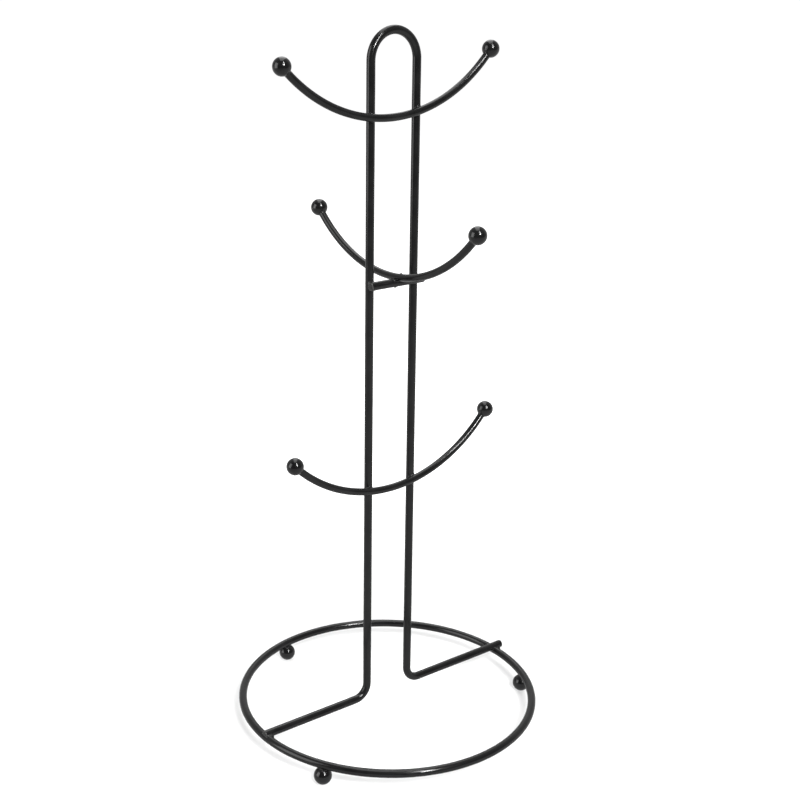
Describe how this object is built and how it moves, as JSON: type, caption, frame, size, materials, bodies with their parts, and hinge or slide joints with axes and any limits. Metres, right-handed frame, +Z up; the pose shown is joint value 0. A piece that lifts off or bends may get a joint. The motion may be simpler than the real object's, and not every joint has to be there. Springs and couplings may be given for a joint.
{
  "type": "mug tree",
  "caption": "Countertop mug tree of black coated wire: a hairpin mast on a ring base with ball feet, and curved crosswise arms with ball tips that hold mugs by their handles.",
  "frame": {"origin": "on the standing surface, below the centre of the base ring", "axes": "+Z up; X along the flat of the hairpin mast and its two foot wires, +X to the foot wire that runs further past the ring; -Y is the front, the side of the mast that the top arm, the bottom arm and the cross bar are welded on"},
  "size_m": [0.1683, 0.1657, 0.3685],
  "materials": {
    "wire_coat": "semi-gloss black stoved coating on steel wire",
    "ball_coat": "high-gloss black coating on steel balls",
    "weld_coat": "black coating over a slightly rough weld bead"
  },
  "bodies": {
    "root": {"mast": "wire_coat", "base_ring": "wire_coat", "cross_bar": "wire_coat", "top_arm": "wire_coat", "middle_arm": "wire_coat", "bottom_arm": "wire_coat", "top_left_tip": "ball_coat", "top_right_tip": "ball_coat", "middle_front_tip": "ball_coat", "middle_back_tip": "ball_coat", "bottom_left_tip": "ball_coat", "bottom_right_tip": "ball_coat", "left_foot": "ball_coat", "back_foot": "ball_coat", "right_foot": "ball_coat", "ring_seam_weld": "weld_coat", "left_base_weld": "weld_coat", "right_base_weld": "weld_coat", "top_left_weld": "weld_coat", "top_right_weld": "weld_coat", "bottom_left_weld": "weld_coat", "bottom_right_weld": "weld_coat", "cross_bar_left_weld": "weld_coat", "cross_bar_right_weld": "weld_coat", "middle_arm_weld": "weld_coat", "top_left_tip_weld": "weld_coat", "top_right_tip_weld": "weld_coat", "middle_front_tip_weld": "weld_coat", "middle_back_tip_weld": "weld_coat", "bottom_left_tip_weld": "weld_coat", "bottom_right_tip_weld": "weld_coat", "left_foot_weld": "weld_coat", "back_foot_weld": "weld_coat", "right_foot_weld": "weld_coat"}
  },
  "joints": []
}
